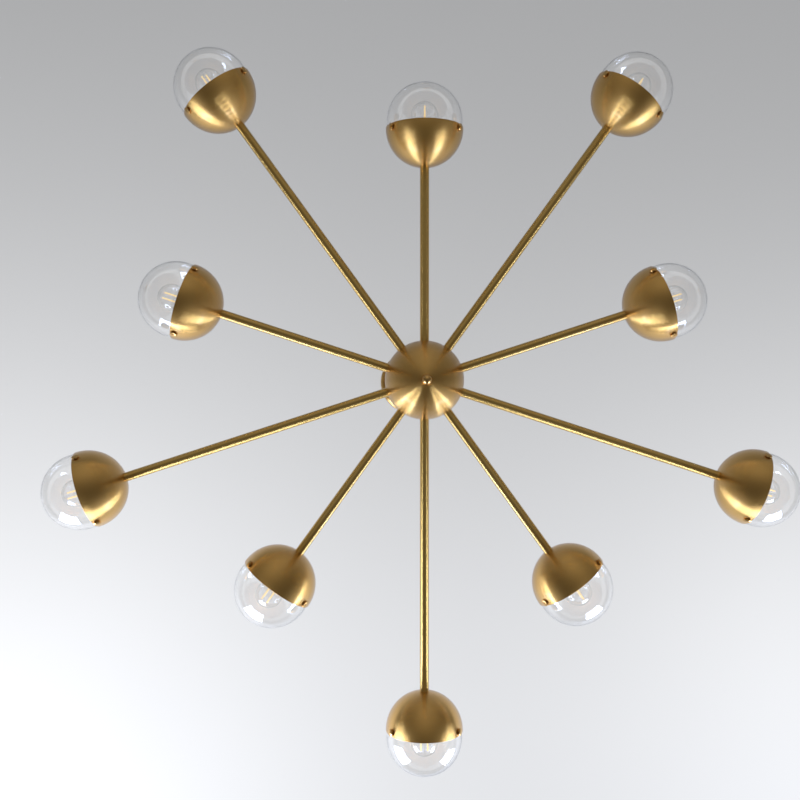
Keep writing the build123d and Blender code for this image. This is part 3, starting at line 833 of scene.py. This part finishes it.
class CHANDELIER_OT_arms(Operator):
    """Ten tubes, long and short in turn, with their threaded ends and leads"""

    bl_idname = "chandelier.arms"
    bl_label = "Arms"

    def execute(self, context):
        sizes = context.scene.chandelier_covers
        core = -reach_along("hub_core", -slide_axis("globe_01_out"))[0]
        for lamp in lamps(context.scene.chandelier_lamps):
            start, end = reach_along(f"arm_{lamp.number}", lamp.axis)
            shape = tube(*bores(sizes), (start, core, lamp.back + lamp.reach, end), sizes.ease)
            shape = shape.placed(UP * HUB_HEIGHT, lamp.axis)
            piece(f"arm_tube_{lamp.number}", shape, "drawn", f"arm_{lamp.number}")
        dress("arm_leads", "sheath")
        return {"FINISHED"}


def screw_axes(sizes):
    """Outward directions of the shade screws in a lamp's own frame, turned from straight down."""
    turns = sizes.first_screw + np.arange(sizes.screws) * 2 * np.pi / sizes.screws
    return [np.array((0.0, np.sin(t), -np.cos(t))) for t in turns]


class CHANDELIER_OT_cups(Operator):
    """Ten spun half-ball cups with three screw bosses each"""

    bl_idname = "chandelier.cups"
    bl_label = "Cups"

    def execute(self, context):
        sizes, covers = context.scene.chandelier_lamps, context.scene.chandelier_covers
        for lamp in lamps(sizes):
            shape = joined([self.bowl(lamp, sizes, covers)] + self.bosses(sizes, covers))
            piece(f"cup_brass_{lamp.number}", lamp.place(shape), "spun", f"cup_{lamp.number}")
        return {"FINISHED"}

    def bowl(self, lamp, sizes, covers):
        """Outline: back hole, back flat, outer sphere to the rim, inner sphere back to the floor."""
        inner = CUP_RADIUS - covers.wall
        hole = sizes.cup_hole / 2
        outline = eased(
            [
                (lamp.back, hole),
                arc(0, CUP_RADIUS, lamp.back, 0, 64),
                arc(0, inner, 0, lamp.floor, 56),
                (lamp.floor, hole),
            ],
            covers.ease,
        )
        return lathe(outline, GLOBE_TURNS)

    def bosses(self, sizes, covers):
        """Short round posts inside the wall, one behind each screw."""
        inner = CUP_RADIUS - covers.wall
        middle = np.array((-sizes.screw_inset, 0, 0))
        boss = bar(sizes.boss / 2, inner - sizes.boss_depth, inner + covers.wall / 2, covers.ease)
        return [boss.placed(middle, axis) for axis in screw_axes(sizes)]


class CHANDELIER_OT_screws(Operator):
    """Thirty shade screws with low domed heads"""

    bl_idname = "chandelier.screws"
    bl_label = "Shade screws"

    def execute(self, context):
        sizes, covers = context.scene.chandelier_lamps, context.scene.chandelier_covers
        screw = self.screw(sizes, covers)
        middle = np.array((-sizes.screw_inset, 0, 0))
        on_cup = joined([screw.placed(middle, axis) for axis in screw_axes(sizes)])
        shape = joined([lamp.place(on_cup) for lamp in lamps(sizes)])
        piece("shade_screw_set", shape, "bright", "shade_screws")
        return {"FINISHED"}

    def screw(self, sizes, covers):
        """Outline with x outwards: tip, shank, underside of the head, side, and a low dome to the pole."""
        head, side, dome = sizes.screw_head / 2, sizes.screw_side, sizes.screw_dome
        dome_radius = (head**2 + dome**2) / (2 * dome)
        top = CUP_RADIUS + side + dome
        tip = sizes.neck / 2 + 0.2 * MM
        outline = eased(
            [
                (tip, 0),
                (tip, sizes.screw_shank / 2),
                (CUP_RADIUS, sizes.screw_shank / 2),
                (CUP_RADIUS, head),
                arc(top - dome_radius, dome_radius, CUP_RADIUS + side, top, 12),
            ],
            covers.ease,
            closed=False,
        )
        return lathe(outline, 40, closed=False)


class CHANDELIER_OT_holders(Operator):
    """Ten porcelain lamp holders"""

    bl_idname = "chandelier.holders"
    bl_label = "Lamp holders"

    def execute(self, context):
        sizes = context.scene.chandelier_lamps
        nipple = context.scene.chandelier_covers.nipple / 2
        shape = joined([lamp.place(self.holder(lamp, sizes, nipple)) for lamp in lamps(sizes)])
        piece("lamp_holder_set", shape, "porcelain", "lamp_holders")
        return {"FINISHED"}

    def holder(self, lamp, sizes, nipple):
        """Outline: foot, cap, shoulder, skirt, mouth, bore and its floor, down to the axis on both sides."""
        cap, skirt, bore = sizes.holder_cap / 2, sizes.holder_skirt / 2, sizes.holder_cavity / 2
        cap_end = lamp.floor + sizes.holder_cap_length
        mouth = lamp.floor + sizes.holder_length
        floor = mouth - sizes.holder_depth
        grip = reach_along(f"arm_{lamp.number}", lamp.axis)[1] - lamp.reach
        outline = eased(
            [
                (grip, 0),
                (grip, nipple),
                (lamp.floor, nipple),
                (lamp.floor, cap),
                (cap_end, cap),
                (cap_end + (skirt - cap) / 2, skirt),
                (mouth, skirt),
                (mouth, bore),
                (floor, bore),
                (floor, 0),
            ],
            0.9 * MM,
            closed=False,
        )
        return lathe(outline, 80, closed=False)


class CHANDELIER_OT_globes(Operator):
    """Ten clear glass globes with their necks"""

    bl_idname = "chandelier.globes"
    bl_label = "Globes"

    def execute(self, context):
        sizes, covers = context.scene.chandelier_lamps, context.scene.chandelier_covers
        outline = self.outline(sizes, covers)
        for lamp in lamps(sizes):
            shape = lamp.place(lathe(outline, GLOBE_TURNS, closed=False))
            piece(f"globe_glass_{lamp.number}", shape, "globe", f"globe_{lamp.number}")
        return {"FINISHED"}

    def outline(self, sizes, covers):
        """Outer pole, sphere to the shoulder, neck, and the same back at the glass's thickness."""
        out, wall, neck = sizes.globe_set_out, sizes.globe_wall, sizes.neck / 2
        inner_cup = CUP_RADIUS - covers.wall
        radius = math.hypot(inner_cup - sizes.rim_gap, out)
        shoulder = -sizes.neck_start
        neck_end = shoulder - sizes.neck_length
        inner = radius - wall
        rows = [
            arc(out, radius, out + radius, shoulder, 90),
            (shoulder, neck),
            (neck_end, neck),
            (neck_end, neck - wall),
            (shoulder + wall, neck - wall),
            arc(out, inner, shoulder + wall, out + inner, 80),
        ]
        return eased(rows, sizes.shoulder_ease, closed=False, steps=6)


class CHANDELIER_OT_bulbs(Operator):
    """Ten round filament bulbs: cap, envelope, glass mount, two glowing sticks and their wires"""

    bl_idname = "chandelier.bulbs"
    bl_label = "Bulbs"

    def execute(self, context):
        sizes = context.scene.chandelier_bulbs
        for lamp in lamps(context.scene.chandelier_lamps):
            node = f"bulb_{lamp.number}"
            base, tip = (v - lamp.reach for v in reach_along(node, lamp.axis))
            turn = self.turn_of(node, lamp)
            parts = {
                "cap": (self.cap(base, sizes), "cap"),
                "envelope": (self.envelope(base, tip, sizes), "bulb"),
                "mount": (self.mount(base, tip, sizes), "bulb"),
                "filaments": (self.filaments(tip, sizes, turn), "glow"),
                "wires": (self.wires(tip, sizes, turn), "wire"),
            }
            for part, (shape, look) in parts.items():
                piece(f"bulb_{part}_{lamp.number}", lamp.place(shape), look, node)
        return {"FINISHED"}

    @staticmethod
    def turn_of(node, lamp):
        """Turn of the filaments about the lamp's axis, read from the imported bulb: the longest spread of
        the points that lie near the axis."""
        side = np.cross(UP, lamp.axis)
        local = corners_of(node) - lamp.middle
        flat = np.stack([local @ side, local @ np.cross(lamp.axis, side)], -1)
        inner = flat[(np.hypot(*flat.T) < INNER_REACH) & (local @ lamp.axis > INNER_START)]
        vectors = np.linalg.eigh(inner.T @ inner)[1]
        return math.atan2(*vectors[::-1, -1])

    def collar(self, base, sizes):
        """Where the cap ends and the glass starts."""
        return base + sizes.contact_height + sizes.taper + sizes.cap_length

    def cap(self, base, sizes):
        """Screw cap. The shell's radius at x and turn t is its mean plus half the thread's depth times
        cos(2 pi x / pitch - t), which winds one helix, and the wave fades out at both ends."""
        shell = base + sizes.contact_height + sizes.taper
        end = self.collar(base, sizes)
        root = sizes.cap / 2 - sizes.thread
        foot = eased(
            [
                (base, 0),
                (base, sizes.contact / 2),
                (base + sizes.contact_height, sizes.contact / 2),
                (base + sizes.contact_height, sizes.taper_end / 2),
                (shell, root),
            ],
            0.5 * MM,
            closed=False,
        )
        turns = 72
        x = np.linspace(shell, end, 100)[1:, None]
        turn = np.linspace(0, 2 * np.pi, turns, endpoint=False)[None, :]
        fade_in = np.clip((x - shell) / sizes.pitch, 0, 1)
        fade_out = np.clip((end - 0.4 * sizes.pitch - x) / sizes.pitch, 0, 1)
        wave = 0.5 + 0.5 * np.cos(2 * np.pi * x / sizes.pitch - turn)
        radius = root + sizes.thread * fade_in * fade_out * wave
        wide = lambda column: np.repeat(column[:, None], turns, axis=1)
        rows_x = np.concatenate([wide(foot[:, 0]), np.repeat(x, turns, axis=1), np.full((1, turns), end)])
        rows_r = np.concatenate([wide(foot[:, 1]), radius, np.zeros((1, turns))])
        return swept(rows_x, rows_r, turns, closed=False)

    def envelope(self, base, tip, sizes):
        """Neck, a straight flank that meets the ball as its tangent, the ball, and back inside."""
        start = self.collar(base, sizes)
        radius, wall = sizes.envelope / 2, sizes.glass
        centre = tip - radius
        neck, neck_end = sizes.neck / 2, start + sizes.neck_length
        outside = self.flank(centre, radius, (neck_end, neck))
        inside = self.flank(centre, radius - wall, (neck_end, neck - wall))
        outline = eased(
            [
                arc(centre, radius, tip, outside, 60),
                (neck_end, neck),
                (start, neck),
                (start, neck - wall),
                (neck_end, neck - wall),
                arc(centre, radius - wall, inside, tip - wall, 56),
            ],
            1.2 * MM,
            closed=False,
            steps=5,
            sharp=18.0,
        )
        return lathe(outline, 96, closed=False)

    @staticmethod
    def flank(centre, radius, point):
        """Place along the axis where a line from the point touches the circle: the angle at the centre
        between the point and the touching point has the cosine radius / distance."""
        dx, dy = point[0] - centre, point[1]
        distance = math.hypot(dx, dy)
        angle = math.atan2(dy, dx) - math.acos(radius / distance)
        return centre + radius * math.cos(angle)

    def mount(self, base, tip, sizes):
        """Pressed glass foot that narrows into a rod."""
        start = self.collar(base, sizes)
        end = tip - sizes.tip_gap
        foot, rod = sizes.flare / 2, sizes.rod / 2
        waist = start + sizes.flare_length
        t = np.linspace(0, 1, 14)
        flare = np.stack([start + (waist - start) * t, rod + (foot - rod) * (1 - t) ** 1.6], -1)
        outline = eased([(start, 0), flare, (end, rod), (end, 0)], 0.4 * MM, closed=False)
        return lathe(outline, 32, closed=False)

    def filaments(self, tip, sizes, turn):
        end = tip - sizes.tip_gap
        start = end - sizes.filament_length
        stick = bar(sizes.filament / 2, start, end, 0.5 * MM, 20)
        reach = sizes.filament_spacing / 2
        side = np.array((0, math.cos(turn), math.sin(turn)))
        return joined([stick.placed(s * reach * side, OUT) for s in (-1, 1)])

    def wires(self, tip, sizes, turn):
        """Cross wires at both ends of the sticks, and the sticks' metal ferrules."""
        end = tip - sizes.tip_gap
        start = end - sizes.filament_length
        reach, thin = sizes.filament_spacing / 2, sizes.wire / 2
        side = np.array((0, math.cos(turn), math.sin(turn)))
        parts = []
        for x in (start + sizes.wire, end - sizes.wire):
            parts.append(bar(thin, -reach, reach, 0.2 * MM, 12).placed(np.array((x, 0, 0)), side))
        for s in (-1, 1):
            for x in (start, end - 2 * sizes.wire):
                ferrule = bar(sizes.filament / 2 + 0.15 * MM, x, x + 2 * sizes.wire, 0.3 * MM, 20)
                parts.append(ferrule.placed(s * reach * side, OUT))
        return joined(parts)


# ---- stage ----
ROOM_IN_BRASS = ((0.0, 0.08), (0.35, 0.10), (0.5, 0.16), (1.0, 0.3))  # height from below to above, level
ROOM_IN_GLASS = ((0.0, 0.55), (0.35, 0.8), (0.5, 1.1), (1.0, 1.1))
ROOM_TINT = (1.06, 1.0, 0.85)
ROOM_SEEN = (0.80, 0.80, 0.81, 1)
ROOM_GLOWS = (  # aim, strength, narrowness, tint
    ((-0.74, 0.66, -0.2), 0.70, 12.0, (0.9, 1.0, 1.2)),
    ((0.74, 0.66, -0.2), 0.70, 12.0, (0.9, 1.0, 1.2)),
    ((0.0, -0.85, -0.5), 0.30, 5.0, (1.04, 1.0, 0.9)),
)
BOX_LIGHT = (0.85, 1.0, 1.35)
# painted light on the ceiling: a tone that rises towards the soft boxes, and a round pool of light painted near
# each
CEILING_LEVEL, PAINTED_RISE, RISE_LEAST, RISE_MOST = 0.447, 0.075, -0.14, 0.10
PAINTED_LIGHT_POOLS = ((0.515, -0.973, 0.868, 0.721), (0.382, 1.027, 0.684, 0.56))  # strength, x, y, width
CEILING_STRENGTH, CEILING_SHOWN = 1.065, 0.88
MIRROR_FROM, MIRROR_GAIN, MIRROR_LEAST = 0.42, 1.4, 0.12
CEILING_GAP = 0.5 * MM


class CHANDELIER_OT_stage(Operator):
    """Ceiling, room light, soft boxes and the camera"""

    bl_idname = "chandelier.stage"
    bl_label = "Stage"

    def execute(self, context):
        studio = context.scene.chandelier_studio
        self.ceiling(studio)
        self.room(context.scene)
        for name, place in (("left soft box", studio.left_box), ("right soft box", studio.right_box)):
            self.soft_box(name, Vector(place), studio)
        self.camera(context.scene, studio)
        context.scene.view_settings.view_transform = "Standard"
        return {"FINISHED"}

    def ceiling(self, studio):
        """Disc just above the mounting plate, seen only from below."""
        turn = np.linspace(0, 2 * np.pi, 96, endpoint=False)
        points = np.stack([np.cos(turn), -np.sin(turn), 0 * turn], -1) * studio.ceiling_radius
        points[:, 2] = CEILING_GAP
        mesh = bpy.data.meshes.new("ceiling")
        mesh.from_pydata(points.tolist(), [], [list(range(len(turn)))])
        mesh.materials.append(ceiling_plaster(studio.ceiling_tone))
        plane = bpy.data.objects.new("ceiling", mesh)
        bpy.context.scene.collection.objects.link(plane)

    def room(self, scene):
        """Room: dim below and lighter above in the brass, bright in the glass, and a pale grey to the
        camera. A glow adds strength * exp(narrowness (cos a - 1)) at the angle a from its aim."""
        world = bpy.data.worlds.new("pale room")
        scene.world = world
        shader = Shader(world)
        direction = shader.add("TexCoord", "Generated", {})
        height = shader.add("SeparateXYZ", "Z", {}, direction) * 0.5 + 0.5
        level = shader.add("ValToRGB", "Color", {"stops": ROOM_IN_BRASS}, height)
        level = shader.vector("MULTIPLY", level, ROOM_TINT)
        for aim, strength, narrowness, tint in ROOM_GLOWS:
            near = shader.vector("DOT_PRODUCT", direction, tuple(Vector(aim).normalized()))
            glow = ((near - 1.0) * narrowness).math("EXPONENT") * strength
            level = shader.vector("ADD", level, shader.scaled(tint, glow))
        in_glass = shader.add("ValToRGB", "Color", {"stops": ROOM_IN_GLASS}, height)
        level = shader.mixed(shader.ray("Singular"), level, in_glass)
        seen = shader.ray("Camera").math("MAXIMUM", shader.ray("Transmission"))
        pale = shader.mixed(seen, level, ROOM_SEEN)
        shader.output(shader.add("Background", "Background", {}, Color=pale, Strength=1.0), "World")

    def soft_box(self, name, place, studio):
        """Upright rectangle that faces the hub's axis."""
        light = bpy.data.lights.new(name, "AREA")
        light.shape = "RECTANGLE"
        light.size, light.size_y = studio.box_width, studio.box_height
        light.energy = studio.box_power
        light.color = BOX_LIGHT
        lamp = bpy.data.objects.new(name, light)
        lamp.location = place
        aim = Vector((0, 0, place.z)) - place
        lamp.rotation_euler = aim.to_track_quat("-Z", "Y").to_euler()
        lamp.visible_camera = False
        bpy.context.scene.collection.objects.link(lamp)

    def camera(self, scene, studio):
        data = bpy.data.cameras.new("camera")
        data.lens, data.sensor_width = studio.lens, 36.0
        data.clip_end = 50.0
        camera = bpy.data.objects.new("camera", data)
        camera.location = studio.camera_place
        camera.rotation_euler = studio.camera_turn
        scene.collection.objects.link(camera)
        scene.camera = camera


def ceiling_plaster(tone):
    """Painted plaster. The camera and the glass see an even tone with painted light on it: the tone rises towards
    the lights, and each soft box has a painted round pool of light of strength exp(-distance^2 / (2 width^2)). The
    brass sees its brighter part as a painted reflection. The rest is lit as it is, so that the object's shadow
    stays. From behind it can't be seen."""
    made, shader = material("ceiling plaster")
    x, y = (shader.add("SeparateXYZ", axis, {}, shader.own_place()) for axis in "XY")
    # painted light: the tone rises towards the soft boxes, then a painted pool of light is added round each
    rise = (y * PAINTED_RISE).math("MAXIMUM", RISE_LEAST).math("MINIMUM", RISE_MOST)
    brightness = rise + CEILING_LEVEL
    for strength, pool_x, pool_y, width in PAINTED_LIGHT_POOLS:
        away = (x - pool_x).math("POWER", 2.0) + (y - pool_y).math("POWER", 2.0)
        brightness = brightness + (away * (-0.5 / width**2)).math("EXPONENT") * strength
    shade = shader.scaled(tuple(tone), brightness)
    grain = shader.noise(3.0, 3.0) * 0.02 + 0.99
    shown = shader.glow(shader.scaled(shade, grain), CEILING_STRENGTH)
    lit = shader.add("BsdfDiffuse", "BSDF", {}, Color=(0.8, 0.8, 0.8, 1))
    mirrored = ((brightness - MIRROR_FROM) * MIRROR_GAIN).math("MAXIMUM", MIRROR_LEAST)
    visible = mirrored * shader.ray("Glossy")
    for kind in ("Camera", "Transmission", "Singular"):
        visible = visible.math("MAXIMUM", shader.ray(kind))
    front = shader.blend(visible * CEILING_SHOWN, lit, shown)
    clear = shader.add("BsdfTransparent", "BSDF", {})
    shader.output(shader.blend(shader.add("NewGeometry", "Backfacing", {}), front, clear))
    return made


OPERATORS = (
    CHANDELIER_OT_canopy,
    CHANDELIER_OT_stem,
    CHANDELIER_OT_hub,
    CHANDELIER_OT_arms,
    CHANDELIER_OT_cups,
    CHANDELIER_OT_screws,
    CHANDELIER_OT_holders,
    CHANDELIER_OT_globes,
    CHANDELIER_OT_bulbs,
    CHANDELIER_OT_stage,
)
GROUPS = {
    "chandelier_covers": CoverSizes,
    "chandelier_lamps": LampSizes,
    "chandelier_bulbs": BulbSizes,
    "chandelier_finish": Finish,
    "chandelier_studio": Studio,
}


class CHANDELIER_PT_panel(Panel):
    """Lists the pieces of the chandelier and their sizes"""

    bl_label = "Sputnik chandelier"
    bl_idname = "CHANDELIER_PT_panel"
    bl_space_type = "VIEW_3D"
    bl_region_type = "UI"
    bl_category = "Chandelier"

    def draw(self, context):
        for operator in OPERATORS:
            self.layout.operator(operator.bl_idname)
        for name, group in GROUPS.items():
            box = self.layout.box()
            for prop in group.__annotations__:
                box.prop(getattr(context.scene, name), prop, text=prop.replace("_", " ").capitalize())


def register():
    for name, group in GROUPS.items():
        bpy.utils.register_class(group)
        setattr(bpy.types.Scene, name, PointerProperty(type=group))
    for entry in (*OPERATORS, CHANDELIER_PT_panel):
        bpy.utils.register_class(entry)


def unregister():
    for entry in reversed((*OPERATORS, CHANDELIER_PT_panel)):
        bpy.utils.unregister_class(entry)
    for name, group in GROUPS.items():
        delattr(bpy.types.Scene, name)
        bpy.utils.unregister_class(group)


def main():
    register()
    for operator in OPERATORS:
        group, call = operator.bl_idname.split(".")
        getattr(getattr(bpy.ops, group), call)()


if __name__ == "__main__":
    main()
